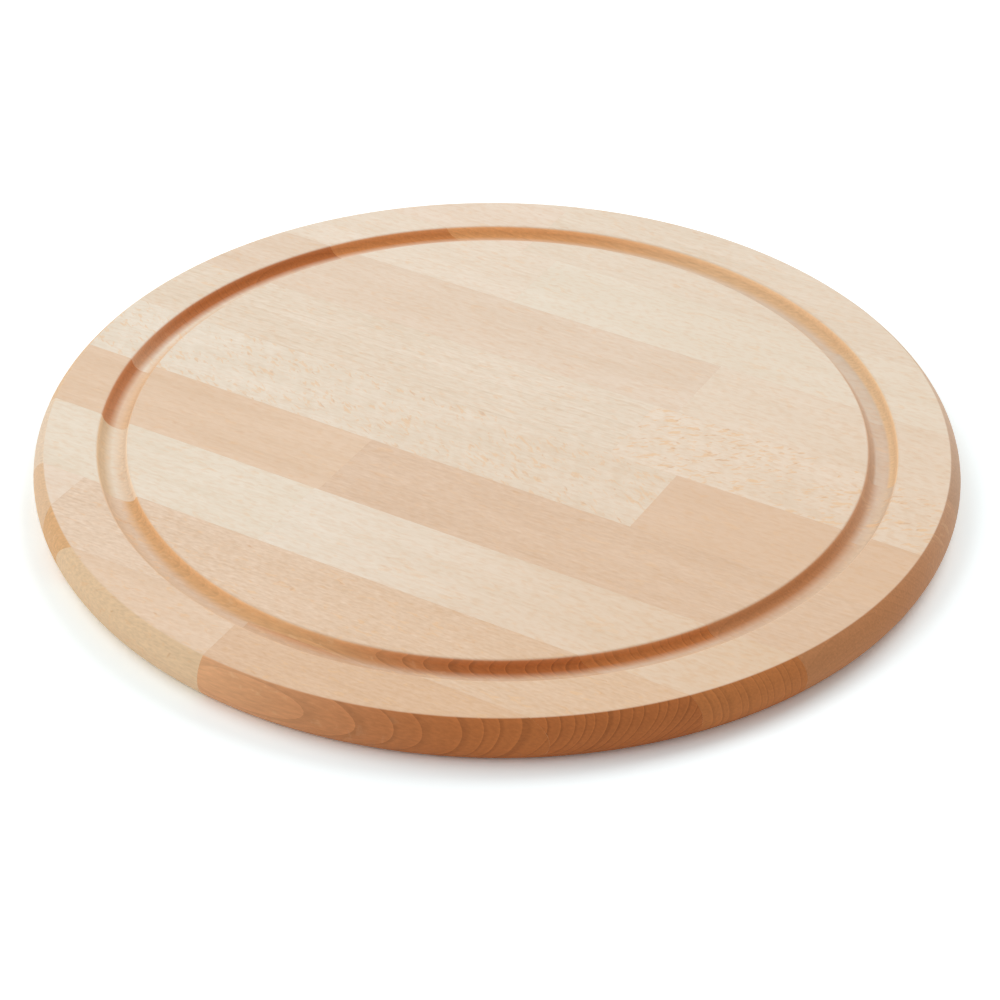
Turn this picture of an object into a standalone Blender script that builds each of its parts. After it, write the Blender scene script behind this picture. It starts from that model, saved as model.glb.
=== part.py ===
"""Round serving board with a juice groove, glued up from beech staves.

Units are metres and +Z is up. The origin is the middle of the underside. The grain
runs along X, and the rows of staves follow each other from the back (+Y) to the
front (-Y). Row 0 is the one that the middle of the board lies in.

The panel is glued up first and turned afterwards, so one turned shape gives every
stave its share of the rim, the land and the groove, and they run on across the seams.
"""
import math

import bpy
from mathutils import Vector

# Board
BOARD_DIAMETER = 0.400            # over the fullest part of the rim
BOARD_THICKNESS = 0.020
RIM_SWELL = 0.005                 # how far the rim swells past the flat faces
ARRIS_EASE = 0.0006               # radius that sanding leaves on every edge

# Juice groove in the top face
LAND_WIDTH = 0.0226               # flat margin between the rim's edge and the groove
GROOVE_WIDTH = 0.0125
GROOVE_DEPTH = 0.005
GROOVE_FILLET = 0.0026            # between the groove's walls and its floor
GROOVE_DRAFT = math.radians(6)    # lean of the groove's walls

# Rows of staves
STAVE_WIDTH = 0.0427
FIRST_SEAM = 0.008                # from the middle of the board back to row 0's rear seam
NARROWEST_ROW = 0.018             # a narrower strip at the rim is left to a wider next row
GLUE_LINE = 0.0003                # clearance between neighbouring staves
SAW_ALLOWANCE = 0.010             # how far a rough stave stands past the turned shape

# Left-hand stave of each row, from the rim to its butt joint
BACK_4_LEFT_STAVE = 0.0825
BACK_3_LEFT_STAVE = 0.1310
BACK_2_LEFT_STAVE = 0.2550
BACK_1_LEFT_STAVE = 0.2505
MIDDLE_LEFT_STAVE = 0.2830
FRONT_1_LEFT_STAVE = 0.1545
FRONT_2_LEFT_STAVE = 0.1400
FRONT_3_LEFT_STAVE = 0.0275
FRONT_4_LEFT_STAVE = 0.0950
SHORTEST_STAVE = 0.015            # a row that would leave less on the right isn't jointed

LEFT_STAVES = {
    4: BACK_4_LEFT_STAVE,
    3: BACK_3_LEFT_STAVE,
    2: BACK_2_LEFT_STAVE,
    1: BACK_1_LEFT_STAVE,
    0: MIDDLE_LEFT_STAVE,
    -1: FRONT_1_LEFT_STAVE,
    -2: FRONT_2_LEFT_STAVE,
    -3: FRONT_3_LEFT_STAVE,
    -4: FRONT_4_LEFT_STAVE,
}

# Facets of the turned surfaces
TURN_STEPS = 120
RIM_STEPS = 10
FILLET_STEPS = 4
EASE_STEPS = 2
CORNER_SHARE = 0.49               # most of a side that the rounding of one of its corners takes
SHARP_ANGLE = math.radians(30)
MERGE_DISTANCE = 0.00001          # closes the turned shape at its axis and its first seam

# Colours of oiled beech, as sRGB
TIMBER_TONES = {
    "cream": "#E9DCCA",
    "pale": "#E8D7C3",
    "blush": "#E6D1BB",
    "sand": "#E3C9AE",
    "rose": "#DEC2A7",
    "tan": "#DCBB9B",
}
ROW_TONES = {
    5: ("pale",),
    4: ("blush", "pale"),
    3: ("pale", "cream"),
    2: ("blush", "pale"),
    1: ("pale", "blush"),
    0: ("pale", "rose"),
    -1: ("sand", "rose"),
    -2: ("cream", "pale"),
    -3: ("blush", "sand"),
    -4: ("sand", "tan"),
}
USUAL_TONES = ("pale", "pale")
OILED_ROUGHNESS = 0.42

RIM_RADIUS = BOARD_DIAMETER / 2
FLAT_RADIUS = RIM_RADIUS - RIM_SWELL


def linear(hex_colour):
    """Turn an sRGB hex colour into linear red, green and blue."""
    parts = [int(hex_colour[i:i + 2], 16) / 255 for i in (1, 3, 5)]
    return [c / 12.92 if c <= 0.04045 else ((c + 0.055) / 1.055) ** 2.4 for c in parts]


def new_collection(name):
    """Add a collection to the scene."""
    collection = bpy.data.collections.new(name)
    bpy.context.scene.collection.children.link(collection)
    return collection


def move_to(obj, collection):
    """Put an object in one collection only."""
    for old in list(obj.users_collection):
        old.objects.unlink(obj)
    collection.objects.link(obj)


def timber(tone):
    """Material of one stave."""
    material = bpy.data.materials.new(f"oiled_beech_{tone}")
    material.use_nodes = True
    surface = material.node_tree.nodes["Principled BSDF"]
    surface.inputs["Base Color"].default_value = (*linear(TIMBER_TONES[tone]), 1)
    surface.inputs["Roughness"].default_value = OILED_ROUGHNESS
    surface.inputs["Metallic"].default_value = 0
    return material


def groove_corners():
    """Corners of the groove's section with their radii, from its inner lip outwards."""
    centre = FLAT_RADIUS - LAND_WIDTH - GROOVE_WIDTH / 2
    lip = GROOVE_WIDTH / 2
    foot = lip - GROOVE_DEPTH * math.tan(GROOVE_DRAFT)
    floor = BOARD_THICKNESS - GROOVE_DEPTH
    return [
        (Vector((centre - lip, BOARD_THICKNESS)), ARRIS_EASE, EASE_STEPS),
        (Vector((centre - foot, floor)), GROOVE_FILLET, FILLET_STEPS),
        (Vector((centre + foot, floor)), GROOVE_FILLET, FILLET_STEPS),
        (Vector((centre + lip, BOARD_THICKNESS)), ARRIS_EASE, EASE_STEPS),
    ]


def rim_corners():
    """Points of the rim's arc, whose first and last are the arrises of the flat faces."""
    half_height = BOARD_THICKNESS / 2
    arc = (half_height ** 2 + RIM_SWELL ** 2) / (2 * RIM_SWELL)
    half_angle = math.atan2(half_height, arc - RIM_SWELL)
    corners = []
    for step in range(RIM_STEPS + 1):
        angle = half_angle * (1 - 2 * step / RIM_STEPS)
        point = Vector((RIM_RADIUS - arc + arc * math.cos(angle), half_height + arc * math.sin(angle)))
        at_arris = step in (0, RIM_STEPS)
        corners.append((point, ARRIS_EASE if at_arris else 0, EASE_STEPS))
    return corners


def round_corner(before, corner, after, radius, steps):
    """Replace a corner by an arc, kept clear of the middle of the shorter side."""
    to_before, to_after = before - corner, after - corner
    half_opening = to_before.angle(to_after) / 2
    shorter = min(to_before.length, to_after.length)
    tangent = min(radius / math.tan(half_opening), CORNER_SHARE * shorter)
    radius = tangent * math.tan(half_opening)
    bisector = (to_before.normalized() + to_after.normalized()).normalized()
    centre = corner + bisector * radius / math.sin(half_opening)
    start = corner + to_before.normalized() * tangent - centre
    turn = start.angle_signed(corner + to_after.normalized() * tangent - centre)
    cosines = [(math.cos(turn * i / steps), math.sin(turn * i / steps)) for i in range(steps + 1)]
    return [centre + Vector((start.x * c + start.y * s, start.y * c - start.x * s)) for c, s in cosines]


def section():
    """Half of the board's section, from the middle of the top face to that of the underside."""
    corners = [*groove_corners(), *rim_corners()]
    path = [Vector((0, BOARD_THICKNESS)), *(point for point, _, _ in corners), Vector((0, 0))]
    points = [path[0]]
    for place, (corner, radius, steps) in enumerate(corners, start=1):
        if radius > 0:
            points += round_corner(path[place - 1], corner, path[place + 1], radius, steps)
        else:
            points.append(corner)
    return [*points, path[-1]]


def turn_shape(guides):
    """Turn the board's whole outline, which is the guide that trims every stave."""
    points = section()
    mesh = bpy.data.meshes.new("turned_shape")
    edges = [(i, i + 1) for i in range(len(points) - 1)]
    mesh.from_pydata([(p.x, 0, p.y) for p in points], edges, [])
    shape = bpy.data.objects.new("turned_shape", mesh)
    guides.objects.link(shape)

    turn = shape.modifiers.new("turn", "SCREW")
    turn.axis = "Z"
    turn.angle = math.tau
    turn.steps = TURN_STEPS
    turn.render_steps = TURN_STEPS
    turn.use_merge_vertices = True
    turn.merge_threshold = MERGE_DISTANCE
    bpy.context.view_layer.objects.active = shape
    bpy.ops.object.modifier_apply(modifier=turn.name)
    shape.data.shade_smooth()
    shape.data.set_sharp_from_angle(angle=SHARP_ANGLE)

    shape.hide_render = True
    shape.display_type = "WIRE"
    return shape


def row_name(row):
    """Name of a row of staves, counted from the middle one."""
    if row == 0:
        return "middle_row"
    return f"back_row_{row}" if row > 0 else f"front_row_{-row}"


def half_chord(y_near, y_far):
    """Half the length of the board within a row, where the row is longest."""
    nearest = 0 if y_near <= 0 <= y_far else min(abs(y_near), abs(y_far))
    return math.sqrt(RIM_RADIUS ** 2 - nearest ** 2)


def row_plan():
    """Front and rear seam of every row, from the back to the front."""
    rear_rows = math.ceil((RIM_RADIUS - FIRST_SEAM - NARROWEST_ROW) / STAVE_WIDTH)
    front_rows = math.ceil((RIM_RADIUS + FIRST_SEAM - NARROWEST_ROW) / STAVE_WIDTH) - 1
    rows = []
    for row in range(rear_rows, -front_rows - 1, -1):
        y_far = FIRST_SEAM + row * STAVE_WIDTH
        y_near = y_far - STAVE_WIDTH
        if row == rear_rows:
            y_far = RIM_RADIUS + SAW_ALLOWANCE
        if row == -front_rows:
            y_near = -RIM_RADIUS - SAW_ALLOWANCE
        rows.append((row, y_near, y_far))
    return rows


def saw_stave(name, along, across, shape, material, board):
    """Saw one stave's block and trim it to the turned shape."""
    (x_left, x_right), (y_near, y_far) = along, across
    bpy.ops.mesh.primitive_cube_add(
        size=1,
        location=((x_left + x_right) / 2, (y_near + y_far) / 2, BOARD_THICKNESS / 2),
    )
    stave = bpy.context.object
    stave.name = name
    stave.data.name = name
    stave.scale = (
        x_right - x_left - GLUE_LINE,
        y_far - y_near - GLUE_LINE,
        BOARD_THICKNESS + 2 * SAW_ALLOWANCE,
    )
    bpy.ops.object.transform_apply(location=False, rotation=False, scale=True)
    stave.data.materials.append(material)
    move_to(stave, board)

    trim = stave.modifiers.new("turned shape", "BOOLEAN")
    trim.operation = "INTERSECT"
    trim.solver = "EXACT"
    trim.object = shape
    return stave


def main():
    """Build the board."""
    for obj in list(bpy.data.objects):
        bpy.data.objects.remove(obj, do_unlink=True)
    board = new_collection("serving_board")
    guides = new_collection("guides")
    shape = turn_shape(guides)
    materials = {tone: timber(tone) for tone in TIMBER_TONES}

    for row, y_near, y_far in row_plan():
        reach = half_chord(y_near, y_far)
        ends = [-reach - SAW_ALLOWANCE, reach + SAW_ALLOWANCE]
        left_stave = LEFT_STAVES.get(row)
        if left_stave and left_stave < 2 * reach - SHORTEST_STAVE:
            ends.insert(1, -reach + left_stave)
        tones = ROW_TONES.get(row, USUAL_TONES)
        for number, along in enumerate(zip(ends, ends[1:]), start=1):
            name = f"{row_name(row)}_stave_{number}"
            material = materials[tones[min(number, len(tones)) - 1]]
            saw_stave(name, along, (y_near, y_far), shape, material, board)


main()
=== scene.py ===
"""Looks of a round serving board glued up from oiled beech staves.

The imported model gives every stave's place, and this script dresses it. The glued panel
is turned once, as on a lathe: a round blank gets its swelling rim, its land and its
juice groove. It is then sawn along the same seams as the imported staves, so the rim and
the groove run on across the joints. Each stave gets its own piece of beech, with growth
rings, rays and end grain that belong to one log, and all stand in a white studio.

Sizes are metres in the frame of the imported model: +Z up, the grain along X.
"""
from __future__ import annotations

import logging
import math
from collections.abc import Callable
from dataclasses import dataclass
from enum import Enum
from typing import Any

import bmesh
import bpy
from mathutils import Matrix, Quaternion, Vector


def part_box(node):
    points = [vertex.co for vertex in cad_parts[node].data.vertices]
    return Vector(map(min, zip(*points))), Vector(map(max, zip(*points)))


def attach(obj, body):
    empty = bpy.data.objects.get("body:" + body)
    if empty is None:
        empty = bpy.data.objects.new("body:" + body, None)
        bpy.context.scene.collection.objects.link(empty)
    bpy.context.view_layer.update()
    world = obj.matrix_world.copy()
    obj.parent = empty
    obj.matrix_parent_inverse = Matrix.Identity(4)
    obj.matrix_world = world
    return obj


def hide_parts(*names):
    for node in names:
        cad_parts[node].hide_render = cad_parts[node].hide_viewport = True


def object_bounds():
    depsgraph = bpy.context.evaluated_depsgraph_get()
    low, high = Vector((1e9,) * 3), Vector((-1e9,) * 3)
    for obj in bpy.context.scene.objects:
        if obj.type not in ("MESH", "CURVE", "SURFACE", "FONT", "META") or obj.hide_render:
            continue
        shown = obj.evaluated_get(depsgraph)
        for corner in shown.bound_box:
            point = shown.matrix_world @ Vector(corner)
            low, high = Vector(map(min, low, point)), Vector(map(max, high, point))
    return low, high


LOG = logging.getLogger("serving_board")
BODY = "root"
MILLIMETRE = 0.001
PACKED_CLEARANCE = 0.0003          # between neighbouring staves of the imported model

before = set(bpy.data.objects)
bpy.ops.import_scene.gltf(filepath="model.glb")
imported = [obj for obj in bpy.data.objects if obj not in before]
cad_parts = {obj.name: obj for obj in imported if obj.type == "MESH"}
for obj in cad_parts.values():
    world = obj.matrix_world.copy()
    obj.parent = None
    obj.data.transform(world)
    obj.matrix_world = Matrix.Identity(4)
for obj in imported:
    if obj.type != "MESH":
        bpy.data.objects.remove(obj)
PACKED_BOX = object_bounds()

Node = bpy.types.Node
Socket = bpy.types.NodeSocket
MATH = "ShaderNodeMath"
VECTOR_MATH = "ShaderNodeVectorMath"
MAP_RANGE = "ShaderNodeMapRange"
MIX = "ShaderNodeMix"
NOISE = "ShaderNodeTexNoise"
MAPPING = "ShaderNodeMapping"
SMOOTH = "SMOOTHSTEP"


@dataclass(frozen=True)
class Ramp:
    """An effect that grows as a value goes from one number to another.

    Attributes:
        start: Value where the effect is least.
        full: Value where it is most.
        least: The least of it.
        most: The most of it.
    """

    start: float
    full: float
    least: float = 0.0
    most: float = 1.0

    def inputs(self, value: Node | Socket) -> dict[str, Any]:
        """Give the inputs of a node that works the effect out from a value."""
        return {"Value": value, "From Min": self.start, "From Max": self.full,
                "To Min": self.least, "To Max": self.most}


# Directions in which a wall faces, and the parts of a vector that count
TORN_AND_SHADED_SIDE = math.radians(325)      # walls that face this way, from +X towards +Y, take the deepest colour: tear-out that drinks oil, and painted shade, as this side faces away from the lamps
FACING_TORN_AND_SHADED = (math.cos(TORN_AND_SHADED_SIDE), math.sin(TORN_AND_SHADED_SIDE), 0.0)
# walls that face this way get a greyer colour, which is painted shade
FACING_GREY_SHADE = (-math.sin(TORN_AND_SHADED_SIDE), math.cos(TORN_AND_SHADED_SIDE), 0.0)
IN_PLAN = (1.0, 1.0, 0.0)
ACROSS_THE_LOG = (0.0, 1.0, 1.0)
HALF = 0.5                         # middle of what a noise gives

# The log and its rings
STAVE_MIDDLE = 10.0                # height of a stave's middle, in millimetres
RISE_SHARE = 0.4                   # how steeply the grain rises, as a share of its slope in plan
BEND_SIZE = (0.16, 0.06, 0.06)     # size of the trunk's bends, along and across it
BEND_REACH = (0.0, 0.005, 0.005)   # how far they carry the rings sideways
YEARS_PER_SEED = 50
WEATHER_RATE = 0.55                # how quickly good years follow dry ones
WEATHER_YEARS = 1.1                # how many years' growth the weather can move a ring
LATE_SEASON = Ramp(0.66, 1.0)      # share of the year over which the growth darkens
FRESH_SEASON = Ramp(0.24, 0.0)     # the same, backwards, for the pale new growth

# The sanded face, where a tone is a share of the way from early to late wood
LATE_OFFSET = 0.2                  # keeps the mean tone where the stripes are strong
YEAR_TONE = 0.5
DRIFT_TONE = 0.55
MOTTLE_TONE = 0.34
FIBRE_TONE = 0.48
LATE_SHOWS = Ramp(-0.12, 0.14)     # late wood is cut open only in patches
BLUSH_SHOWS = Ramp(-0.05, 0.35, most=0.30)
FADE_LENGTH = 0.1                  # length over which a stave's fade is given
WARM_BEECH = "#DCB083"
GROOVE_FLOOR_SHADE = "#EDE9E8"            # painted shade on the groove's floor, deeper towards +X

# The turned walls, where a tone is a share of their brightness
TORN_AND_SHADED_FULLY = 0.92                  # cosine of the angle from the side with the deepest colour, which is partly painted shade
GREY_SHADE_SIDE = Ramp(0.3, 0.9)       # cosine of the angle from the side that gets painted grey shade
LATE_WALL_TONE = -0.20
FRESH_WALL_TONE = 0.12
YEAR_WALL_TONE = 0.05
FIBRE_WALL_TONE = 0.42
# painted highlight on the groove's lips
LIP_HIGHLIGHT_TONE = 0.40
CLEAN_RINGS = Ramp(0.0, 1.0, least=0.25)   # contrast of the rings, from clean walls to the deepest ones

# The rays' flecks
FLECK_SPAN = 2                     # size of the noise for a fleck of size 1
FLECK_DEPTH = 0.006
FLECK_RAGGED = 0.6
CLUMPING = 0.25
SPARSE_EDGE = 0.67                 # level of the noise where a fleck starts, at density 0
CROWDING = 0.25                    # how much lower it is at density 1
FLECK_SOFTNESS = 0.12
DARK_KIND = Ramp(0.55, 0.68)
ORANGE_FLECK = "#EBC294"
BROWN_FLECK = "#D2A277"

# The satin of the oil
SATIN_ROUGHNESS = 0.50
FIBRE_ROUGHNESS = 0.20
WALL_ROUGHNESS = 0.12
RELIEF_STRENGTH = 0.3
RELIEF_HEIGHT = 0.0002
OIL_IOR = 1.47
OIL_GLOSS = 0.18

# Modelling
ROUND = 0.5                        # profile of a bevel that is a true arc
LEVEL = 0.9                        # a face whose normal points up more than this is level


def linear(hex_colour: str) -> tuple[float, float, float, float]:
    """Turn an sRGB hex colour into the linear colour that a socket takes.

    Args:
        hex_colour: Colour such as "#E9DCCA".

    Returns:
        Linear red, green and blue, and an alpha of 1.
    """
    parts = [int(hex_colour[i:i + 2], 16) / 255 for i in (1, 3, 5)]
    red, green, blue = (c / 12.92 if c <= 0.04045 else ((c + 0.055) / 1.055) ** 2.4 for c in parts)
    return red, green, blue, 1.0


class NodeSheet:
    """A node tree that is filled node by node."""

    def __init__(self, tree: bpy.types.NodeTree) -> None:
        """Keep the tree."""
        self.tree = tree

    def add(self, kind: str, inputs: dict[str | int, Any] | None = None, **settings: Any) -> Node:
        """Add a node with its settings, and fill or link its sockets.

        Args:
            kind: Blender's name of the node's type.
            inputs: For each input, by its name or number, a value, an output socket to link,
                or a node whose first output is linked.
            **settings: Attributes of the node.

        Returns:
            The new node.
        """
        node = self.tree.nodes.new(kind)
        for name, value in settings.items():
            setattr(node, name, value)
        for socket, value in (inputs or {}).items():
            if isinstance(value, Node):
                value = value.outputs[0]
            if isinstance(value, Socket):
                self.tree.links.new(value, node.inputs[socket])
            else:
                node.inputs[socket].default_value = value
        return node


class Timber(Enum):
    """Tone of a stave's face: its pale early wood and its deeper late wood.

    Beech is steamed before it is sawn, which turns some staves pinker than others.
    """

    CREAM = ("beech_cream", "#F3E7D6", "#E1D0B8")
    PALE = ("beech_pale", "#F2E3D1", "#DECAB1")
    BLUSH = ("beech_blush", "#EFDDCA", "#DDC3A8")
    SAND = ("beech_sand", "#EED4BB", "#DABB9C")
    ROSE = ("beech_rose", "#EACFB6", "#D6B698")
    TAN = ("beech_tan", "#E8C8AA", "#D3AD8A")

    def __init__(self, slot: str, early_wood: str, late_wood: str) -> None:
        """Keep the record's slot and the two colours."""
        self.slot = slot
        self.early_wood = early_wood
        self.late_wood = late_wood


class Sawing(Enum):
    """How a stave was sawn from its log: where the heart lies from the stave's middle.

    Distances are across the stave and upwards, in millimetres. A heart far below gives a
    flat-sawn face with wide arches, and one level with the stave stands the rings up.
    """

    FLAT = (6.0, -58.0)
    FLAT_LEFT = (-22.0, -46.0)
    RIFT = (-52.0, -44.0)
    RIFT_BACK = (60.0, -40.0)
    QUARTER_BACK = (64.0, 2.0)
    QUARTER_FRONT = (-66.0, 2.0)
    NEAR_HEART = (40.0, -11.0)

    def __init__(self, across: float, up: float) -> None:
        """Keep the heart's place."""
        self.across = across
        self.up = up


class EndGrain(Enum):
    """Colour of the turned walls, which changes with the way that they face.

    The side that faces away from the lamps takes a deep orange brown: partly end grain that
    the tool tore, which drinks the oil, and partly painted shade. Cut clean, the wall stays
    about as pale as the face. Walls a quarter turn on from that side get a greyer colour,
    which is painted shade. The number tells how early the deep colour starts: it is the
    cosine of the angle from the side where it is deepest.
    """

    # Columns: clean colour, deepest colour (tear-out and painted shade), greyer colour (painted shade),
    # start.
    USUAL = ("#E6C29C", "#B96F3B", "#D9BC9E", 0.42)
    CHESTNUT = ("#E6C29C", "#C07842", "#D9BC9E", 0.42)
    BURNT = ("#E6C29C", "#B96F3B", "#CDA583", -0.20)
    LINEN = ("#EBD2B6", "#D2A272", "#D8BC9A", 0.42)
    PALE = ("#E8C49A", "#B07F5C", "#D4B59A", 0.25)
    PEACH = ("#E9C9A2", "#C08450", "#D9BC9E", 0.42)
    HONEY = ("#E6AF81", "#B96F3B", "#D9BC9E", 0.42)
    RUSSET = ("#E2B381", "#B66C39", "#D9BC9E", 0.53)
    GREYED = ("#DCC3A8", "#C08355", "#CBA78B", 0.42)
    AMBER = ("#E8C297", "#D08A52", "#D9BC9E", 0.42)
    GOLDEN = ("#E8C297", "#E0A46C", "#D9BC9E", 0.42)

    def __init__(self, clean: str, torn_and_shaded: str, along: str, start: float) -> None:
        """Keep the three colours and the start of the deepest colour."""
        self.clean = clean
        self.torn_and_shaded = torn_and_shaded
        # along holds the greyer colour, which is painted shade.
        self.along = along
        self.start = start


class Band(Enum):
    """A soft pattern that is stretched along the grain, or at an angle to it.

    Each has its size along, across and through the stave in millimetres, its octaves of
    finer pattern, and its angle to the grain in degrees.
    """

    FIBRES = ((6.0, 0.9, 0.9), 3.0, 0.0)
    PATCHES = ((16.0, 4.0, 4.0), 2.0, 0.0)
    STREAKS = ((90.0, 2.4, 4.0), 3.0, 0.0)
    DRIFT = ((60.0, 13.0, 20.0), 1.0, 0.0)
    MOTTLES = ((5.0, 1.5, 1.5), 1.0, 0.0)
    DASHES = ((3.0, 1.1, 1.0), 2.0, 0.0)
    GLINTS = ((21.0, 4.0, 8.0), 1.0, -62.0)
    BLUSHES = ((4.0, 1.6, 1.6), 1.0, 0.0)
    CLUMPS = ((26.0, 9.0, 9.0), 1.0, 0.0)

    def __init__(self, size: tuple[float, float, float], detail: float, turn: float) -> None:
        """Keep the pattern's size, detail and turn."""
        self.size = size
        self.detail = detail
        self.turn = turn


@dataclass(frozen=True)
class Rays:
    """Wood rays where they meet the surface: short orange flecks, the mark of beech.

    Attributes:
        strength: How far a fleck goes to its own colour, from 0 to 1.
        density: How crowded the flecks are, from 0 to 1.
        length: Length along the fleck, in millimetres.
        width: Width across it, in millimetres.
        slant: Turn of the flecks from the grain, in degrees.
        mirror: Strength of the pale glints that a quarter-sawn face shows beside them.
    """

    strength: float = 0.25
    density: float = 0.30
    length: float = 3.5
    width: float = 1.4
    slant: float = 0.0
    mirror: float = 0.0


@dataclass(frozen=True)
class Rings:
    """Growth rings as nodes of a material.

    Attributes:
        late: Rises to 1 towards the end of each year's growth.
        fresh: Rises to 1 at the start of each year's growth, just outside the dark line.
        year: A tone from -0.5 to 0.5 for each year.
    """

    late: Node
    fresh: Node
    year: Node


@dataclass(frozen=True)
class TurnedWalls:
    """Where the lathe cut the board, and how softly the colour of its walls comes in.

    A tilt is the upright part of the surface's direction, which is 1 on a flat face.

    Attributes:
        top: Height of the top face.
        skin: How near a flat face a place has to be to belong to it.
        groove_floor: Height of the groove's floor.
        groove_middle: Radius of the middle of the groove.
        rim_starts: Radius between the groove and the rim.
        rim_tilt: Tilts over which the rim's colour comes in, sharply at both arrises.
        lip_tilt: Tilts over which the groove's colour comes in, past its sanded lips.
        belt_middle: Middle height of the belt that is wall whatever its tilt.
        belt_reach: How far the belt goes up and down from there.
        coloured_from: Distance from the groove's middle where its walls are fully coloured.
        worn: Heights over which sanding has taken some of that colour.
        painted_lip_highlight: Heights over which the groove's lips get a painted highlight.
        painted_floor_shade: Distances from the groove's floor over which its painted shade fades.
        painted_floor_shade_along: Places along the grain over which that painted shade comes in.
    """

    top: float = 0.020
    skin: float = 0.000015
    groove_floor: float = 0.015
    groove_middle: float = 0.16615
    rim_starts: float = 0.180
    rim_tilt: Ramp = Ramp(0.99, 0.85)
    lip_tilt: Ramp = Ramp(0.97, 0.45)
    belt_middle: float = 0.0165
    belt_reach: float = 0.0020
    coloured_from: float = 0.0036
    worn: Ramp = Ramp(0.020, 0.0175, least=0.85)
    painted_lip_highlight: Ramp = Ramp(0.017, 0.020)
    painted_floor_shade: Ramp = Ramp(0.0035, 0.0010)
    painted_floor_shade_along: Ramp = Ramp(-0.17, 0.10, least=0.1)


@dataclass(frozen=True)
class OiledBeech:
    """Steamed beech, planed and sanded across the seams, then oiled to a satin.

    The face stays pale and nearly plain, because few pores are cut open there: it shows
    short fine fibres, faint broken rings and the rays' flecks. The turned walls soak up
    oil through cut fibres, take painted shade on the sides that face away from the lamps,
    and show each ring as a thin dark line with a pale one beside it.

    Attributes:
        timber: Tone of the face.
        sawing: How the stave lay in its log.
        rays: Its flecks.
        end_grain: Colour of its turned walls.
        shade: How deep the face is between early and late wood, from 0 to 1.
        fade: How much warmer it gets over 100 mm to the right.
        ring_width: Growth of one year, in millimetres.
        stripes: Contrast of the rings on the face.
        streaks: Contrast of the long streaks on the face.
        figure: Contrast of the short fibres on the face, where 1 is usual.
        dashes: Contrast of the short dashes that thick rays draw on the face.
        ringed: Contrast of the rings on the turned walls, where 1 is usual.
        soak: How far from the groove's middle the colour of its walls starts, in millimetres.
        slope: Angle of the grain to the stave's length, in degrees.
        seed: Moves every pattern, so that no two staves match.
    """

    timber: Timber
    sawing: Sawing = Sawing.FLAT
    rays: Rays = Rays()
    end_grain: EndGrain = EndGrain.USUAL
    shade: float = 0.5
    fade: float = 0.0
    ring_width: float = 3.3
    stripes: float = 0.12
    streaks: float = 0.30
    figure: float = 1.0
    dashes: float = 0.0
    ringed: float = 1.0
    soak: float = 0.2
    slope: float = 0.6
    seed: float = 0.0


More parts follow.
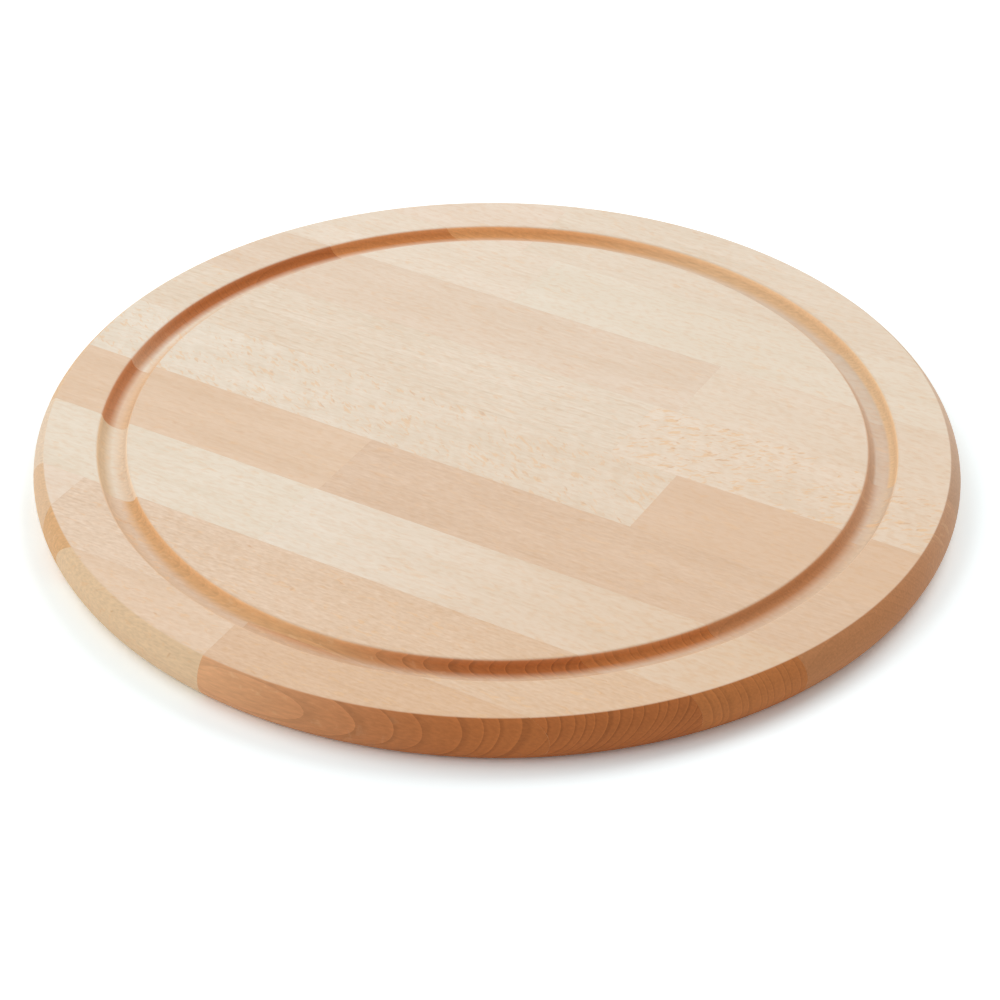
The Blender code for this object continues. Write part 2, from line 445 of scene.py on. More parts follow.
class BeechSheet(NodeSheet):
    """Nodes that draw the finish of one stave."""

    def __init__(self, beech: OiledBeech, name: str, middle: float) -> None:
        """Start the material, and find the stave's place in its log.

        Args:
            beech: The finish.
            name: Name of the material.
            middle: Place of the stave's middle across the grain, in metres.
        """
        self.beech = beech
        self.material = bpy.data.materials.new(name)
        self.material.use_nodes = True
        super().__init__(self.material.node_tree)
        coordinates = self.add("ShaderNodeTexCoord")
        self.place = coordinates.outputs["Object"]
        self.normal = coordinates.outputs["Normal"]
        self.spot = self.add("ShaderNodeSeparateXYZ", {"Vector": self.place})
        self.log = self._log(middle)
        self.rings = self._rings()
        self.fibre = self._band(Band.FIBRES, self.log)

    def finish(self) -> bpy.types.Material:
        """Join the face, the walls and the flecks into the stave's surface.

        Returns:
            The material.
        """
        cut, floor_shade_share, painted_lip_highlight = self._cut()
        # Painted shade: the groove's floor is darkened, more towards +X.
        painted_floor_shade = self.add(MIX, {"Factor": floor_shade_share, "A": self._face(), "B": linear(GROOVE_FLOOR_SHADE)},
                          data_type="RGBA", blend_type="MULTIPLY")
        wall, torn_and_shaded = self._wall(painted_lip_highlight)
        bare = self.add(MIX, {"Factor": cut, "A": painted_floor_shade.outputs["Result"], "B": wall}, data_type="RGBA")
        # How much of the walls' deepest colour shows, tear-out and painted shade; it hides the flecks.
        deepened = self.add(MATH, {0: torn_and_shaded, 1: cut}, operation="MULTIPLY")
        surface = self.tree.nodes["Principled BSDF"]
        colour = self._flecked(bare.outputs["Result"], deepened)
        self.tree.links.new(colour, surface.inputs["Base Color"])
        self._satin(surface, cut)
        return self.material

    def _add_up(self, base: float, terms: list[tuple[Node | Socket, float]]) -> Node:
        """Add patterns up, each with its own strength.

        Args:
            base: Value without any pattern.
            terms: Each pattern with its strength.

        Returns:
            The sum.
        """
        total: float | Node = base
        for pattern, strength in terms:
            total = self.add(MATH, {0: pattern, 1: strength, 2: total}, operation="MULTIPLY_ADD")
        return total

    def _log(self, middle: float) -> Node:
        """Put the pattern's X axis on the heart of the log, and let it wander as a tree does.

        Args:
            middle: Place of the stave's middle across the grain, in metres.

        Returns:
            Place in the log, in metres.
        """
        beech = self.beech
        heart = (0.0, middle + beech.sawing.across * MILLIMETRE,
                 (STAVE_MIDDLE + beech.sawing.up) * MILLIMETRE)
        turn = (0.0, math.radians(RISE_SHARE * beech.slope), math.radians(beech.slope))
        straight = self.add(MAPPING, {"Vector": self.place, "Location": heart, "Rotation": turn},
                            vector_type="TEXTURE")
        bends = self.add(MAPPING, {"Vector": straight, "Location": (beech.seed, 0.0, 0.0),
                                   "Scale": BEND_SIZE}, vector_type="TEXTURE")
        noise = self.add(NOISE, {"Vector": bends, "Scale": 1.0, "Detail": 3.0})
        centred = self.add(VECTOR_MATH, {0: noise.outputs["Color"], 1: (HALF, HALF, HALF)},
                           operation="SUBTRACT")
        sway = self.add(VECTOR_MATH, {0: centred, 1: BEND_REACH}, operation="MULTIPLY")
        return self.add(VECTOR_MATH, {0: straight, 1: sway}, operation="ADD")

    def _rings(self) -> Rings:
        """Draw growth rings round the heart, wide in good years and narrow in dry ones.

        Returns:
            The rings.
        """
        section = self.add(VECTOR_MATH, {0: self.log, 1: ACROSS_THE_LOG}, operation="MULTIPLY")
        radius = self.add(VECTOR_MATH, {0: section}, operation="LENGTH")
        years = self.add(MATH, {0: radius.outputs["Value"], 1: 1 / (self.beech.ring_width * MILLIMETRE),
                                2: YEARS_PER_SEED * self.beech.seed}, operation="MULTIPLY_ADD")
        weather = self.add(NOISE, {"W": years, "Scale": WEATHER_RATE, "Detail": 2.0}, noise_dimensions="1D")
        age = self.add(MATH, {0: weather.outputs["Fac"], 1: WEATHER_YEARS, 2: years},
                       operation="MULTIPLY_ADD")
        season = self.add(MATH, {0: age}, operation="FRACT")
        late = self.add(MAP_RANGE, LATE_SEASON.inputs(season), interpolation_type=SMOOTH)
        fresh = self.add(MAP_RANGE, FRESH_SEASON.inputs(season), interpolation_type=SMOOTH)
        count = self.add(MATH, {0: age}, operation="FLOOR")
        chance = self.add("ShaderNodeTexWhiteNoise", {"W": count}, noise_dimensions="1D")
        year = self.add(MATH, {0: chance.outputs["Value"], 1: HALF}, operation="SUBTRACT")
        return Rings(late, fresh, year)

    def _band(self, band: Band, place: Node | Socket) -> Node:
        """Draw a soft pattern.

        Args:
            band: The pattern.
            place: Coordinates to draw it in.

        Returns:
            A value round 0, from about -0.5 to 0.5.
        """
        scale = tuple(side * MILLIMETRE for side in band.size)
        where = self.add(MAPPING, {"Vector": place, "Location": (self.beech.seed, 0.0, 0.0),
                                   "Rotation": (0.0, 0.0, math.radians(band.turn)), "Scale": scale},
                         vector_type="TEXTURE")
        noise = self.add(NOISE, {"Vector": where, "Scale": 1.0, "Detail": band.detail})
        return self.add(MATH, {0: noise.outputs["Fac"], 1: HALF}, operation="SUBTRACT")

    def _face(self) -> Socket:
        """Colour the sanded face, where rings, streaks and fibres only tint the pale wood.

        Returns:
            Colour of the face.
        """
        beech, log = self.beech, self.log
        shown = self.add(MAP_RANGE, LATE_SHOWS.inputs(self._band(Band.PATCHES, log)))
        broken = self.add(MATH, {0: self.rings.late, 1: shown}, operation="MULTIPLY")
        depth = self._add_up(beech.shade - LATE_OFFSET * beech.stripes, [
            (broken, beech.stripes),
            (self.rings.year, YEAR_TONE * beech.stripes),
            (self._band(Band.STREAKS, log), beech.streaks),
            (self._band(Band.DRIFT, log), DRIFT_TONE),
            (self._band(Band.MOTTLES, log), MOTTLE_TONE * beech.figure),
            (self.fibre, FIBRE_TONE * beech.figure),
            (self._band(Band.DASHES, self.place), beech.dashes),
            (self._band(Band.GLINTS, self.place), -beech.rays.mirror),
        ])
        colour = self.add(MIX, {"Factor": depth, "A": linear(beech.timber.early_wood),
                                "B": linear(beech.timber.late_wood)}, data_type="RGBA")
        blush = self.add(MAP_RANGE, BLUSH_SHOWS.inputs(self._band(Band.BLUSHES, log)))
        warmer = self._add_up(0.0, [(blush, 1.0), (self.spot.outputs["X"], beech.fade / FADE_LENGTH)])
        warmed = self.add(MIX, {"Factor": warmer, "A": colour.outputs["Result"], "B": linear(WARM_BEECH)},
                          data_type="RGBA", clamp_factor=False)
        return warmed.outputs["Result"]

    def _flecked(self, bare: Socket, deepened: Node) -> Socket:
        """Lay the rays' flecks over the face and the paler walls, in loose clumps.

        A ray is cut open where the surface meets it at a slant, so its fleck is a ragged
        patch, bright orange with a few darker ones. Real flecks are a fraction of a
        millimetre wide. They are drawn about 1 mm wide, as coarse as they have to be to
        show in a picture of the whole board.

        Args:
            bare: Colour under the flecks.
            deepened: How far the walls' deepest colour, tear-out and painted shade, covers a place,
            which hides them.

        Returns:
            Colour with the flecks.
        """
        rays, seed = self.beech.rays, self.beech.seed
        size = (FLECK_SPAN * rays.length * MILLIMETRE, FLECK_SPAN * rays.width * MILLIMETRE, FLECK_DEPTH)
        where = self.add(MAPPING, {"Vector": self.place, "Location": (seed, seed, 0.0),
                                   "Rotation": (0.0, 0.0, math.radians(rays.slant)), "Scale": size},
                         vector_type="TEXTURE")
        cuts = self.add(NOISE, {"Vector": where, "Scale": 1.0, "Detail": 3.0, "Distortion": FLECK_RAGGED})
        clumped = self.add(MATH, {0: self._band(Band.CLUMPS, self.place), 1: CLUMPING,
                                  2: cuts.outputs["Fac"]}, operation="MULTIPLY_ADD")
        edge = SPARSE_EDGE - CROWDING * rays.density
        fleck = self.add(MAP_RANGE, Ramp(edge, edge + FLECK_SOFTNESS).inputs(clumped),
                         interpolation_type=SMOOTH)
        kinds = self.add("ShaderNodeSeparateColor", {"Color": cuts.outputs["Color"]})
        darker = self.add(MAP_RANGE, DARK_KIND.inputs(kinds.outputs["Green"]))
        hue = self.add(MIX, {"Factor": darker, "A": linear(ORANGE_FLECK), "B": linear(BROWN_FLECK)},
                       data_type="RGBA")
        bared = self.add(MAP_RANGE, Ramp(0.0, 1.0, rays.strength, 0.0).inputs(deepened))
        strength = self.add(MATH, {0: fleck, 1: bared}, operation="MULTIPLY")
        colour = self.add(MIX, {"Factor": strength, "A": bare, "B": hue.outputs["Result"]}, data_type="RGBA")
        return colour.outputs["Result"]

    def _cut(self) -> tuple[Node, Node, Node]:
        """Tell the turned walls and the groove's floor from the flat faces.

        The rim's colour starts sharply at both arrises. In the groove, sanding has taken some
        colour off the lips, which also get a painted highlight, and the walls pass softly into
        the floor, which gets a painted shade that deepens towards +X.

        Returns:
            How much wall a place is, how much painted shade the groove's floor takes, and how much
            painted highlight its lips take.
        """
        walls = TurnedWalls()
        height = self.spot.outputs["Z"]
        side = self.add("ShaderNodeSeparateXYZ", {"Vector": self.normal})
        tilt = self.add(MATH, {0: side.outputs["Z"]}, operation="ABSOLUTE")
        rim = self.add(MAP_RANGE, walls.rim_tilt.inputs(tilt), interpolation_type=SMOOTH)
        lip = self.add(MAP_RANGE, walls.lip_tilt.inputs(tilt), interpolation_type=SMOOTH)
        belt = self.add(MATH, {0: height, 1: walls.belt_middle, 2: walls.belt_reach}, operation="COMPARE")
        steep = self.add(MATH, {0: lip, 1: belt}, operation="MAXIMUM")
        plan = self.add(VECTOR_MATH, {0: self.place, 1: IN_PLAN}, operation="MULTIPLY")
        radius = self.add(VECTOR_MATH, {0: plan}, operation="LENGTH").outputs["Value"]
        from_middle = self.add(MATH, {0: radius, 1: walls.groove_middle}, operation="SUBTRACT")
        off_middle = self.add(MATH, {0: from_middle}, operation="ABSOLUTE")
        soak = Ramp(self.beech.soak * MILLIMETRE, walls.coloured_from)
        rising = self.add(MAP_RANGE, soak.inputs(off_middle))
        worn = self.add(MAP_RANGE, walls.worn.inputs(height))
        deepened = self.add(MATH, {0: rising, 1: worn}, operation="MULTIPLY")
        groove = self.add(MATH, {0: steep, 1: deepened}, operation="MULTIPLY")
        outside = self.add(MATH, {0: radius, 1: walls.rim_starts}, operation="GREATER_THAN")
        curved = self.add(MIX, {"Factor": outside, "A": groove, "B": rim})
        half = walls.top / 2
        turned = self.add(MATH, {0: height, 1: half, 2: half - walls.skin}, operation="COMPARE")
        cut = self.add(MATH, {0: curved, 1: turned}, operation="MULTIPLY")
        # Painted highlight on the groove's lips, none on the rim.
        high = self.add(MAP_RANGE, walls.painted_lip_highlight.inputs(height))
        painted_lip_highlight = self.add(MIX, {"Factor": outside, "A": high, "B": 0.0})
        # Painted shade on the groove's floor, deeper towards +X.
        above_floor = self.add(MATH, {0: height, 1: walls.groove_floor}, operation="SUBTRACT")
        from_floor = self.add(MATH, {0: above_floor}, operation="ABSOLUTE")
        floor = self.add(MAP_RANGE, walls.painted_floor_shade.inputs(from_floor), interpolation_type=SMOOTH)
        rightwards = self.add(MAP_RANGE, walls.painted_floor_shade_along.inputs(self.spot.outputs["X"]))
        floor_shade_share = self.add(MATH, {0: floor, 1: rightwards}, operation="MULTIPLY")
        return cut, floor_shade_share, painted_lip_highlight

    def _wall(self, painted_lip_highlight: Node) -> tuple[Node, Node]:
        """Colour the turned walls, deepest where they face away from the lamps: tear-out and painted shade.

        Args:
            painted_lip_highlight: Strength of the painted highlight that lightens the groove's lips.

        Returns:
            Colour of the walls, and how much of their deepest colour they take: tear-out and painted shade.
        """
        grain, ringed = self.beech.end_grain, self.beech.ringed
        level = self.add(VECTOR_MATH, {0: self.normal, 1: IN_PLAN}, operation="MULTIPLY")
        facing = self.add(VECTOR_MATH, {0: level}, operation="NORMALIZE")
        # Walls that face away from the lamps get the deepest colour: tear-out and painted shade.
        torn_and_shaded_facing = self.add(VECTOR_MATH, {0: facing, 1: FACING_TORN_AND_SHADED}, operation="DOT_PRODUCT")
        torn_and_shaded = self.add(MAP_RANGE, Ramp(grain.start, TORN_AND_SHADED_FULLY).inputs(torn_and_shaded_facing.outputs["Value"]),
                        interpolation_type=SMOOTH)
        # Walls a quarter turn on from the deepest side get a greyer colour: painted shade.
        along = self.add(VECTOR_MATH, {0: facing, 1: FACING_GREY_SHADE}, operation="DOT_PRODUCT")
        grey_shade = self.add(MAP_RANGE, GREY_SHADE_SIDE.inputs(along.outputs["Value"]), interpolation_type=SMOOTH)
        clean = self.add(MIX, {"Factor": grey_shade, "A": linear(grain.clean), "B": linear(grain.along)},
                         data_type="RGBA")
        colour = self.add(MIX, {"Factor": torn_and_shaded, "A": clean.outputs["Result"], "B": linear(grain.torn_and_shaded)},
                          data_type="RGBA")
        rings = self._add_up(0.0, [
            (self.rings.late, LATE_WALL_TONE * ringed),
            (self.rings.fresh, FRESH_WALL_TONE * ringed),
            (self.rings.year, YEAR_WALL_TONE * ringed),
        ])
        shown = self.add(MAP_RANGE, CLEAN_RINGS.inputs(torn_and_shaded))
        # The painted highlight lightens the groove's lips.
        plain = self._add_up(1.0, [(self.fibre, FIBRE_WALL_TONE), (painted_lip_highlight, LIP_HIGHLIGHT_TONE)])
        tone = self.add(MATH, {0: rings, 1: shown, 2: plain}, operation="MULTIPLY_ADD")
        grained = self.add(VECTOR_MATH, {0: colour.outputs["Result"], "Scale": tone}, operation="SCALE")
        return grained, torn_and_shaded

    def _satin(self, surface: Node, cut: Node) -> None:
        """Give the oiled surface its satin and its faint fibres, rougher on the walls.

        Args:
            surface: The material's surface node.
            cut: How much wall a place is.
        """
        rough = self._add_up(SATIN_ROUGHNESS, [(self.fibre, FIBRE_ROUGHNESS), (cut, WALL_ROUGHNESS)])
        self.tree.links.new(rough.outputs[0], surface.inputs["Roughness"])
        relief = self.add("ShaderNodeBump", {"Height": self.fibre, "Strength": RELIEF_STRENGTH,
                                             "Distance": RELIEF_HEIGHT})
        self.tree.links.new(relief.outputs[0], surface.inputs["Normal"])
        surface.inputs["IOR"].default_value = OIL_IOR
        surface.inputs["Specular IOR Level"].default_value = OIL_GLOSS


STAVES: dict[str, OiledBeech] = {
    "back_row_5_stave_1": OiledBeech(
        Timber.PALE, Sawing.QUARTER_BACK, end_grain=EndGrain.AMBER, ringed=0.3, seed=0.31),
    "back_row_4_stave_1": OiledBeech(
        Timber.BLUSH, Sawing.RIFT, end_grain=EndGrain.GOLDEN, shade=0.2, ringed=0.4, seed=0.87),
    "back_row_4_stave_2": OiledBeech(
        Timber.PALE, Sawing.FLAT, end_grain=EndGrain.GOLDEN, fade=0.05, ringed=0.3, seed=1.43),
    "back_row_3_stave_1": OiledBeech(
        Timber.PALE, Sawing.FLAT_LEFT, end_grain=EndGrain.AMBER, shade=0.35, ringed=0.4, seed=1.99),
    "back_row_3_stave_2": OiledBeech(
        Timber.CREAM, Sawing.RIFT, end_grain=EndGrain.PALE, fade=0.08, streaks=0.15, figure=0.3,
        ringed=0.3, soak=2.5, seed=2.55),
    "back_row_2_stave_1": OiledBeech(
        Timber.BLUSH, Sawing.FLAT, shade=0.5, figure=1.2, ringed=0.5, seed=3.11),
    "back_row_2_stave_2": OiledBeech(
        Timber.PALE, Sawing.RIFT, end_grain=EndGrain.PALE, fade=0.13, shade=0.35, ringed=0.2,
        soak=2.5, seed=3.67),
    "back_row_1_stave_1": OiledBeech(
        Timber.PALE, Sawing.QUARTER_FRONT, Rays(0.35, 0.30), shade=0.55, ring_width=4.0,
        stripes=0.35, figure=1.5, ringed=0.5, seed=4.23),
    "back_row_1_stave_2": OiledBeech(
        Timber.PALE, Sawing.QUARTER_BACK, Rays(0.65, 0.48, 2.3, 0.9, 34.0, mirror=0.5),
        EndGrain.GREYED, fade=0.15, shade=0.32, ringed=0.2, seed=4.79),
    "middle_row_stave_1": OiledBeech(
        Timber.PALE, Sawing.QUARTER_BACK, Rays(0.50, 0.45, 2.4, 0.9, -30.0, mirror=0.4), fade=0.1,
        ringed=0.3, seed=5.35),
    "middle_row_stave_2": OiledBeech(
        Timber.ROSE, Sawing.RIFT, end_grain=EndGrain.GREYED, fade=0.17, shade=0.36, ringed=0.3,
        seed=5.91),
    "front_row_1_stave_1": OiledBeech(
        Timber.SAND, Sawing.RIFT, end_grain=EndGrain.BURNT, streaks=0.5, ringed=0.4, seed=6.47),
    "front_row_1_stave_2": OiledBeech(
        Timber.ROSE, Sawing.FLAT, end_grain=EndGrain.GREYED, fade=0.10, figure=1.6, dashes=0.6,
        ringed=0.3, seed=7.03),
    "front_row_2_stave_1": OiledBeech(
        Timber.CREAM, Sawing.FLAT_LEFT, end_grain=EndGrain.LINEN, ringed=0.2, seed=7.59),
    "front_row_2_stave_2": OiledBeech(
        Timber.PALE, Sawing.QUARTER_BACK, end_grain=EndGrain.CHESTNUT, fade=0.28, shade=0.40,
        ring_width=3.5, ringed=0.8, seed=8.15),
    "front_row_3_stave_1": OiledBeech(Timber.BLUSH, Sawing.RIFT, shade=0.2, ringed=0.3, seed=8.71),
    "front_row_3_stave_2": OiledBeech(
        Timber.SAND, Sawing.RIFT_BACK, Rays(0.5, 0.35, 2.5, 0.9), EndGrain.RUSSET, fade=0.22,
        ring_width=2.5, figure=1.6, dashes=1.2, ringed=1.2, seed=9.27),
    "front_row_4_stave_1": OiledBeech(
        Timber.SAND, Sawing.RIFT, Rays(0.5, 0.35, 2.5, 0.9), EndGrain.PEACH, shade=0.38,
        dashes=0.8, ringed=0.2, seed=9.83),
    "front_row_4_stave_2": OiledBeech(
        Timber.TAN, Sawing.NEAR_HEART, Rays(0.4, 0.35, 2.5, 0.9), EndGrain.HONEY, shade=0.4,
        fade=0.20, ring_width=3.9, figure=1.2, dashes=1.0, seed=10.39),
}


def deselect() -> None:
    """Leave edit mode if need be, and select nothing."""
    if bpy.context.object and bpy.context.object.mode != "OBJECT":
        bpy.ops.object.mode_set(mode="OBJECT")
    bpy.ops.object.select_all(action="DESELECT")


def pick(mode: str, wanted: Callable[[Any], bool]) -> None:
    """Select the elements of the mesh in edit mode that pass a test, and nothing else.

    Args:
        mode: "VERT", "EDGE" or "FACE".
        wanted: Test on a vertex, an edge or a face.
    """
    bpy.ops.mesh.select_mode(type=mode)
    bpy.ops.mesh.select_all(action="DESELECT")
    mesh = bpy.context.object.data
    cage = bmesh.from_edit_mesh(mesh)
    elements = {"VERT": cage.verts, "EDGE": cage.edges, "FACE": cage.faces}[mode]
    for element in [element for element in elements if wanted(element)]:
        element.select_set(True)
    cage.select_flush_mode()
    bmesh.update_edit_mesh(mesh)


def reach(point: Vector) -> float:
    """Distance of a point from the board's axis."""
    return math.hypot(point.x, point.y)


@dataclass
class TurnedPanel:
    """The panel as it leaves the lathe, in one piece.

    Attributes:
        radius: Radius over the fullest part of the rim.
        thickness: Height of the board.
        rim_swell: How far the rim swells past the flat faces.
        land_width: Flat margin between the rim and the groove.
        groove_width: Width of the groove at its lips.
        groove_depth: Depth of the groove.
        groove_lean: How far a wall of the groove leans in on its way down.
        groove_fillet: Rounding between the groove's walls and floor.
        lip_ease: Rounding that sanding leaves on the groove's lips.
        ease: Rounding that it leaves on the arrises of the rim.
        facets: Steps round the board, fine enough to look round up close.
        rim_steps: Rings of facets over the rim's height.
        fillet_steps: Facets of the groove's fillets.
        ease_steps: Facets of the eased lips and arrises.
        tolerance: Lengths that differ by less than this count as the same.
    """

    radius: float
    thickness: float
    rim_swell: float = 0.005
    land_width: float = 0.0226
    groove_width: float = 0.0125
    groove_depth: float = 0.005
    groove_lean: float = 0.0009
    groove_fillet: float = 0.0040
    lip_ease: float = 0.0011
    ease: float = 0.0006
    facets: int = 480
    rim_steps: int = 14
    fillet_steps: int = 8
    ease_steps: int = 5
    tolerance: float = 0.00002

    @property
    def flat_radius(self) -> float:
        """Radius of the flat faces."""
        return self.radius - self.rim_swell

    @property
    def outer_lip(self) -> float:
        """Radius of the groove's outer lip."""
        return self.flat_radius - self.land_width

    @property
    def inner_lip(self) -> float:
        """Radius of the groove's inner lip."""
        return self.outer_lip - self.groove_width

    def near(self, value: float, target: float) -> bool:
        """Tell whether two lengths are the same but for rounding."""
        return abs(value - target) < self.tolerance

    def on_ring(self, edge: bmesh.types.BMEdge, radius: float, height: float) -> bool:
        """Tell whether an edge is one facet of the ring at a radius and a height."""
        return all(self.near(reach(v.co), radius) and self.near(v.co.z, height) for v in edge.verts)

    def rim_radius(self, height: float) -> float:
        """Radius of the swelling rim at a height.

        Args:
            height: Height above the underside.

        Returns:
            Radius there, on one arc from arris to arris.
        """
        half = self.thickness / 2
        arc = (half ** 2 + self.rim_swell ** 2) / (2 * self.rim_swell)
        return self.radius - arc + math.sqrt(arc ** 2 - (height - half) ** 2)

    def build(self) -> bpy.types.Object:
        """Turn the panel.

        Returns:
            The panel, with its place in its mesh.
        """
        deselect()
        bpy.ops.mesh.primitive_cylinder_add(
            vertices=self.facets, radius=self.flat_radius, depth=self.thickness,
            end_fill_type="NGON", location=(0, 0, self.thickness / 2))
        panel = bpy.context.object
        panel.name = "turned_panel"
        bpy.ops.object.transform_apply(location=True, rotation=True, scale=True)
        bpy.ops.object.mode_set(mode="EDIT")
        self._cut_groove()
        self._swell_rim()
        self._ease_edges()
        bpy.ops.mesh.select_all(action="SELECT")
        bpy.ops.mesh.normals_make_consistent(inside=False)
        bpy.ops.object.mode_set(mode="OBJECT")
        return panel

    def _cut_groove(self) -> None:
        """Sink the groove into the top face, and round the corners of its floor."""
        pick("FACE", lambda face: face.normal.z > LEVEL)
        bpy.ops.mesh.inset(thickness=self.land_width)
        bpy.ops.mesh.inset(thickness=self.groove_width)
        pick("FACE", lambda face: face.normal.z > LEVEL and self._in_groove(face))
        bpy.ops.mesh.inset(thickness=self.groove_lean, depth=-self.groove_depth)
        floor = self.thickness - self.groove_depth
        pick("EDGE", lambda edge: self.on_ring(edge, self.inner_lip + self.groove_lean, floor)
             or self.on_ring(edge, self.outer_lip - self.groove_lean, floor))
        bpy.ops.mesh.bevel(offset=self.groove_fillet, segments=self.fillet_steps, profile=ROUND,
                           affect="EDGES")

    def _in_groove(self, face: bmesh.types.BMFace) -> bool:
        """Tell whether a face lies between the groove's lips."""
        return self.inner_lip < reach(face.calc_center_median()) < self.outer_lip

    def _on_blank(self, vert: bmesh.types.BMVert) -> bool:
        """Tell whether a vertex lies on the straight side of the blank."""
        return self.near(reach(vert.co), self.flat_radius)

    def _swell_rim(self) -> None:
        """Divide the rim's height, and draw each ring out to the arc."""
        pick("EDGE", lambda edge: all(self._on_blank(vert) for vert in edge.verts)
             and not self.near(edge.verts[0].co.z, edge.verts[1].co.z))
        bpy.ops.mesh.subdivide(number_cuts=self.rim_steps - 1)
        for step in range(1, self.rim_steps):
            height = self.thickness * step / self.rim_steps
            pick("VERT", lambda vert: self._on_blank(vert) and self.near(vert.co.z, height))
            share = self.rim_radius(height) / self.flat_radius
            bpy.ops.transform.resize(value=(share, share, 1), center_override=(0, 0, height))

    def _ease_edges(self) -> None:
        """Sand the lips of the groove and both arrises of the rim."""
        lips = [(self.inner_lip, self.thickness), (self.outer_lip, self.thickness)]
        arrises = [(self.flat_radius, self.thickness), (self.flat_radius, 0.0)]
        for rings, ease in ((lips, self.lip_ease), (arrises, self.ease)):
            pick("EDGE", lambda edge: any(self.on_ring(edge, radius, height) for radius, height in rings))
            bpy.ops.mesh.bevel(offset=ease, segments=self.ease_steps, profile=ROUND, affect="EDGES")


@dataclass
class GluedBoard:
    """The board as its staves, each sawn from the turned panel at the seams of its node.

    Attributes:
        panel: The panel that they are sawn from.
        glue_line: Half the width of the hairline that shows where two staves meet.
        smooth_below: Edges that turn less than this are shaded smooth.
        flat_weight: How much more a large flat face counts in the shading of its edges.
        facet_loss: How far the rim's facets may fall short of a true circle.
    """

    panel: TurnedPanel
    glue_line: float = 0.00001
    smooth_below: float = math.radians(40)
    flat_weight: int = 80
    facet_loss: float = 0.0002

    def build(self) -> list[bpy.types.Object]:
        """Saw and dress every stave.

        Returns:
            The staves.
        """
        blank = self.panel.build()
        staves = [self._stave(blank, node, beech) for node, beech in STAVES.items()]
        bpy.data.objects.remove(blank, do_unlink=True)
        return staves

    def _stave(self, blank: bpy.types.Object, node: str, beech: OiledBeech) -> bpy.types.Object:
        """Saw one stave, dress it and let it stand for its node.

        Args:
            blank: The turned panel.
            node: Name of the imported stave.
            beech: Its finish.

        Returns:
            The stave.
        """
        low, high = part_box(node)
        stave = blank.copy()
        stave.data = blank.data.copy()
        stave.name = stave.data.name = f"{node}_beech"
        bpy.context.scene.collection.objects.link(stave)
        deselect()
        bpy.context.view_layer.objects.active = stave
        stave.select_set(True)
        bpy.ops.object.mode_set(mode="EDIT")
        for axis, side, place in self._saw_cuts(low, high):
            bpy.ops.mesh.select_all(action="SELECT")
            across = Vector((axis == 0, axis == 1, 0)) * side
            bpy.ops.mesh.bisect(plane_co=across * side * place, plane_no=across, use_fill=True,
                                clear_outer=True)
            bpy.ops.mesh.mark_sharp()
        bpy.ops.object.mode_set(mode="OBJECT")
        bpy.ops.object.shade_smooth_by_angle(angle=self.smooth_below)
        flats = stave.modifiers.new("flats", "WEIGHTED_NORMAL")
        flats.keep_sharp = True
        flats.weight = self.flat_weight
        bpy.ops.object.modifier_apply(modifier=flats.name)
        stave.data.materials.clear()
        stave.data.materials.append(BeechSheet(beech, f"oiled_beech_{node}", (low.y + high.y) / 2).finish())
        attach(stave, BODY)
        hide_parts(node)
        return stave

    def _saw_cuts(self, low: Vector, high: Vector) -> list[tuple[int, int, float]]:
        """Find the seams of a stave, which are the sides of its box that lie inside the rim.

        Args:
            low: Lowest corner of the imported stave.
            high: Highest corner.

        Returns:
            Axis, side and place of each saw cut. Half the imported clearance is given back.
        """
        cuts = []
        for axis in (0, 1):
            for side, place in ((-1, low[axis]), (1, high[axis])):
                if abs(place) < self._rim_reach(axis, low, high) - self.panel.tolerance:
                    cuts.append((axis, side, place + side * (PACKED_CLEARANCE / 2 - self.glue_line)))
        return cuts

    def _rim_reach(self, axis: int, low: Vector, high: Vector) -> float:
        """Find how far the rim reaches along an axis within a stave's width.

        Args:
            axis: 0 along the grain, 1 across it.
            low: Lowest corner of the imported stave.
            high: Highest corner.

        Returns:
            Half the chord of the rim where it is longest in that stave.
        """
        other = 1 - axis
        nearest = 0.0 if low[other] <= 0 <= high[other] else min(abs(low[other]), abs(high[other]))
        return math.sqrt(self.panel.radius ** 2 - nearest ** 2) - self.facet_loss


@dataclass(frozen=True)
class SoftBox:
    """A round soft box that faces the board.

    Attributes:
        name: Name of its light.
        azimuth: Where it stands, from +X towards +Y, in degrees.
        elevation: Its height above the horizon, in degrees.
        level: Light that it throws on a face turned to it, where 1 shows a colour as written.
        distance: From the board's middle, in metres.
        spread: Width that it fills in the board's sky, in degrees.
    """

    name: str
    azimuth: float
    elevation: float
    level: float
    distance: float = 3.0
    spread: float = 35.0

    def build(self) -> None:
        """Hang the soft box."""
        turn, rise = math.radians(self.azimuth), math.radians(self.elevation)
        towards = Vector((math.cos(turn) * math.cos(rise), math.sin(turn) * math.cos(rise), math.sin(rise)))
        half_spread = math.radians(self.spread / 2)
        data = bpy.data.lights.new(self.name, "AREA")
        data.shape = "DISK"
        data.size = 2 * self.distance * math.tan(half_spread)
        data.energy = self.level * (math.pi * self.distance / math.cos(half_spread)) ** 2
        light = bpy.data.objects.new(self.name, data)
        bpy.context.scene.collection.objects.link(light)
        light.location = towards * self.distance
        light.rotation_mode = "QUATERNION"
        light.rotation_quaternion = (-towards).to_track_quat("-Z", "Y")


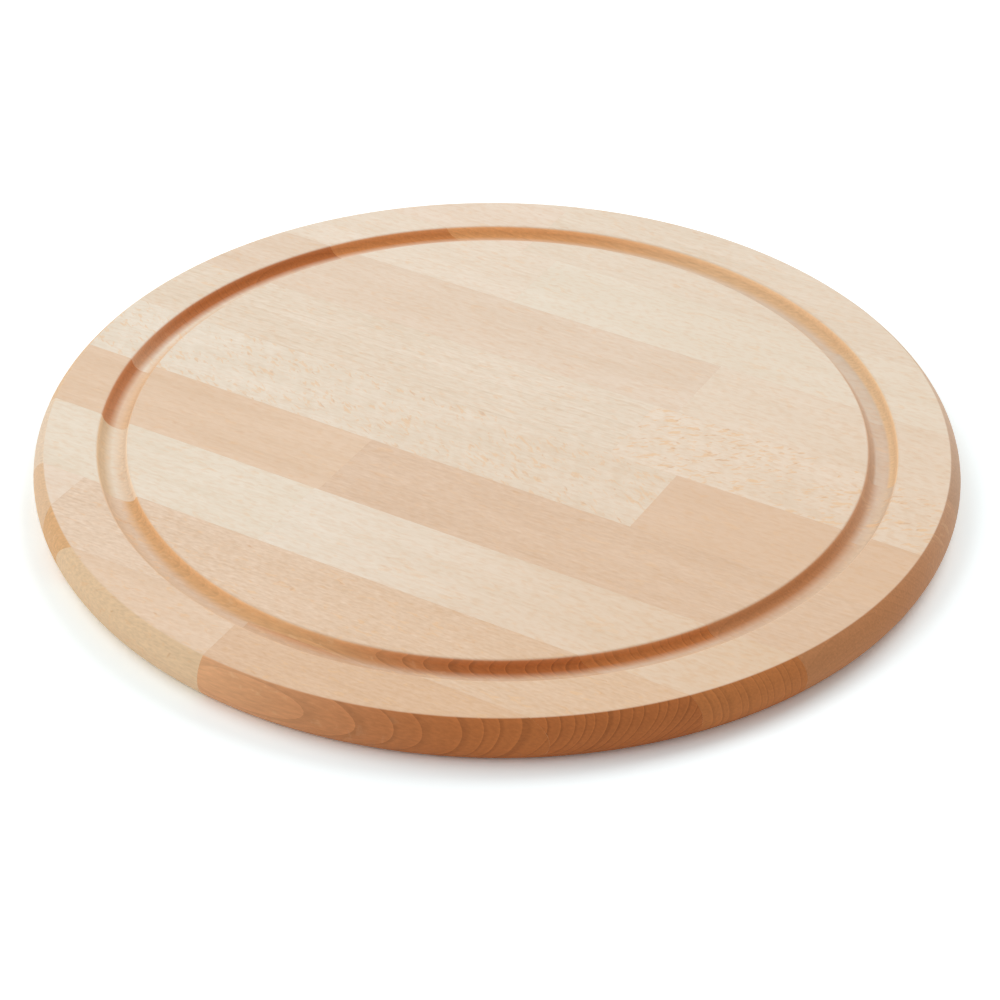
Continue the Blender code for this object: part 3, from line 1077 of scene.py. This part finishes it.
@dataclass
class Studio:
    """White studio: a seamless floor, a soft box behind, two more at the left, and light all round.

    Attributes:
        aim: Point of the top face in the middle of the picture.
        distance: From the lens to that point.
        elevation: Height of the view above the horizon, in degrees.
        azimuth: Turn of the view from +Y towards -X, in degrees.
        roll: Lean of the camera, in degrees.
        lens: Focal length, in millimetres.
        sensor: Width of the camera's sensor, in millimetres.
        clip: Nearest and farthest distance that the camera sees.
        soft_boxes: The lights.
        room_light: Light from all round.
        floor_size: Side of the floor.
        floor_gap: How far the floor lies under the board, so that the two don't share a plane.
        floor_white: How light the floor's paper is.
        floor_shown: The same as the camera sees it, burnt out to white as in a packshot.
    """

    aim: tuple[float, float, float] = (0.027232, -0.045545, 0.020)
    distance: float = 1.242476
    elevation: float = 35.653
    azimuth: float = 29.428
    roll: float = 0.578
    lens: float = 106.91
    sensor: float = 36.0
    clip: tuple[float, float] = (0.05, 50.0)
    soft_boxes: tuple[SoftBox, ...] = (SoftBox("left_soft_box", 185.0, 56.0, 0.164),
                                       SoftBox("front_left_soft_box", 230.0, 40.0, 0.163),
                                       SoftBox("rear_soft_box", 84.0, 43.0, 0.356, 6.0))
    room_light: float = 0.48
    floor_size: float = 3.0
    floor_gap: float = 0.00005
    floor_white: float = 0.97
    floor_shown: tuple[float, float, float] = (1.20, 1.29, 1.31)

    def build(self) -> None:
        """Set up camera, lights, world and floor."""
        self._camera()
        for soft_box in self.soft_boxes:
            soft_box.build()
        self._room()
        self._floor()
        bpy.context.scene.view_settings.view_transform = "Standard"

    def _camera(self) -> None:
        """Place the camera where the photograph was taken from."""
        turn, rise = math.radians(self.azimuth), math.radians(self.elevation)
        back = Vector((math.sin(turn) * math.cos(rise), -math.cos(turn) * math.cos(rise), math.sin(rise)))
        data = bpy.data.cameras.new("camera")
        data.lens = self.lens
        data.sensor_width = self.sensor
        data.clip_start, data.clip_end = self.clip
        camera = bpy.data.objects.new("camera", data)
        bpy.context.scene.collection.objects.link(camera)
        camera.location = Vector(self.aim) + back * self.distance
        camera.rotation_mode = "QUATERNION"
        lean = Quaternion((0, 0, 1), math.radians(self.roll))
        camera.rotation_quaternion = (-back).to_track_quat("-Z", "Y") @ lean
        bpy.context.scene.camera = camera

    def _seen(self, sheet: NodeSheet) -> Node:
        """Tell rays that look at the backdrop from rays that gather light.

        Args:
            sheet: Nodes of the world or of the floor.

        Returns:
            1 for rays from the camera, in a reflection or through glass, else 0.
        """
        path = sheet.add("ShaderNodeLightPath")
        first = sheet.add(MATH, {0: path.outputs["Is Camera Ray"], 1: path.outputs["Is Glossy Ray"]},
                          operation="MAXIMUM")
        return sheet.add(MATH, {0: first, 1: path.outputs["Is Transmission Ray"]}, operation="MAXIMUM")

    def _room(self) -> None:
        """Light the room evenly, and show it pure white."""
        world = bpy.data.worlds.new("studio")
        bpy.context.scene.world = world
        world.use_nodes = True
        sheet = NodeSheet(world.node_tree)
        strength = sheet.add(MAP_RANGE, Ramp(0.0, 1.0, self.room_light, 1.0).inputs(self._seen(sheet)))
        backdrop = world.node_tree.nodes["Background"]
        backdrop.inputs["Color"].default_value = linear("#FFFFFF")
        world.node_tree.links.new(strength.outputs[0], backdrop.inputs["Strength"])

    def _floor(self) -> None:
        """Lay a matt white floor, which reads as pure white outside the board's shadow."""
        deselect()
        bpy.ops.mesh.primitive_plane_add(size=self.floor_size, location=(0, 0, -self.floor_gap))
        floor = bpy.context.object
        floor.name = "studio_floor"
        material = bpy.data.materials.new("matt_white_paper")
        material.use_nodes = True
        material.node_tree.nodes.clear()
        sheet = NodeSheet(material.node_tree)
        paper = sheet.add("ShaderNodeBsdfDiffuse", {"Color": (self.floor_white,) * 3 + (1.0,)})
        shown = sheet.add("ShaderNodeBsdfDiffuse", {"Color": (*self.floor_shown, 1.0)})
        mixed = sheet.add("ShaderNodeMixShader", {0: self._seen(sheet), 1: paper, 2: shown})
        sheet.add("ShaderNodeOutputMaterial", {"Surface": mixed})
        floor.data.materials.append(material)


def main() -> None:
    """Build the studio and the board, and report every piece."""
    logging.basicConfig(level=logging.INFO, format="%(name)s: %(message)s")
    Studio().build()
    low, high = PACKED_BOX
    panel = TurnedPanel(radius=(high.x - low.x) / 2, thickness=high.z - low.z)
    for stave in GluedBoard(panel).build():
        LOG.info("%s: %d faces", stave.name, len(stave.data.polygons))


if __name__ == "__main__":
    main()
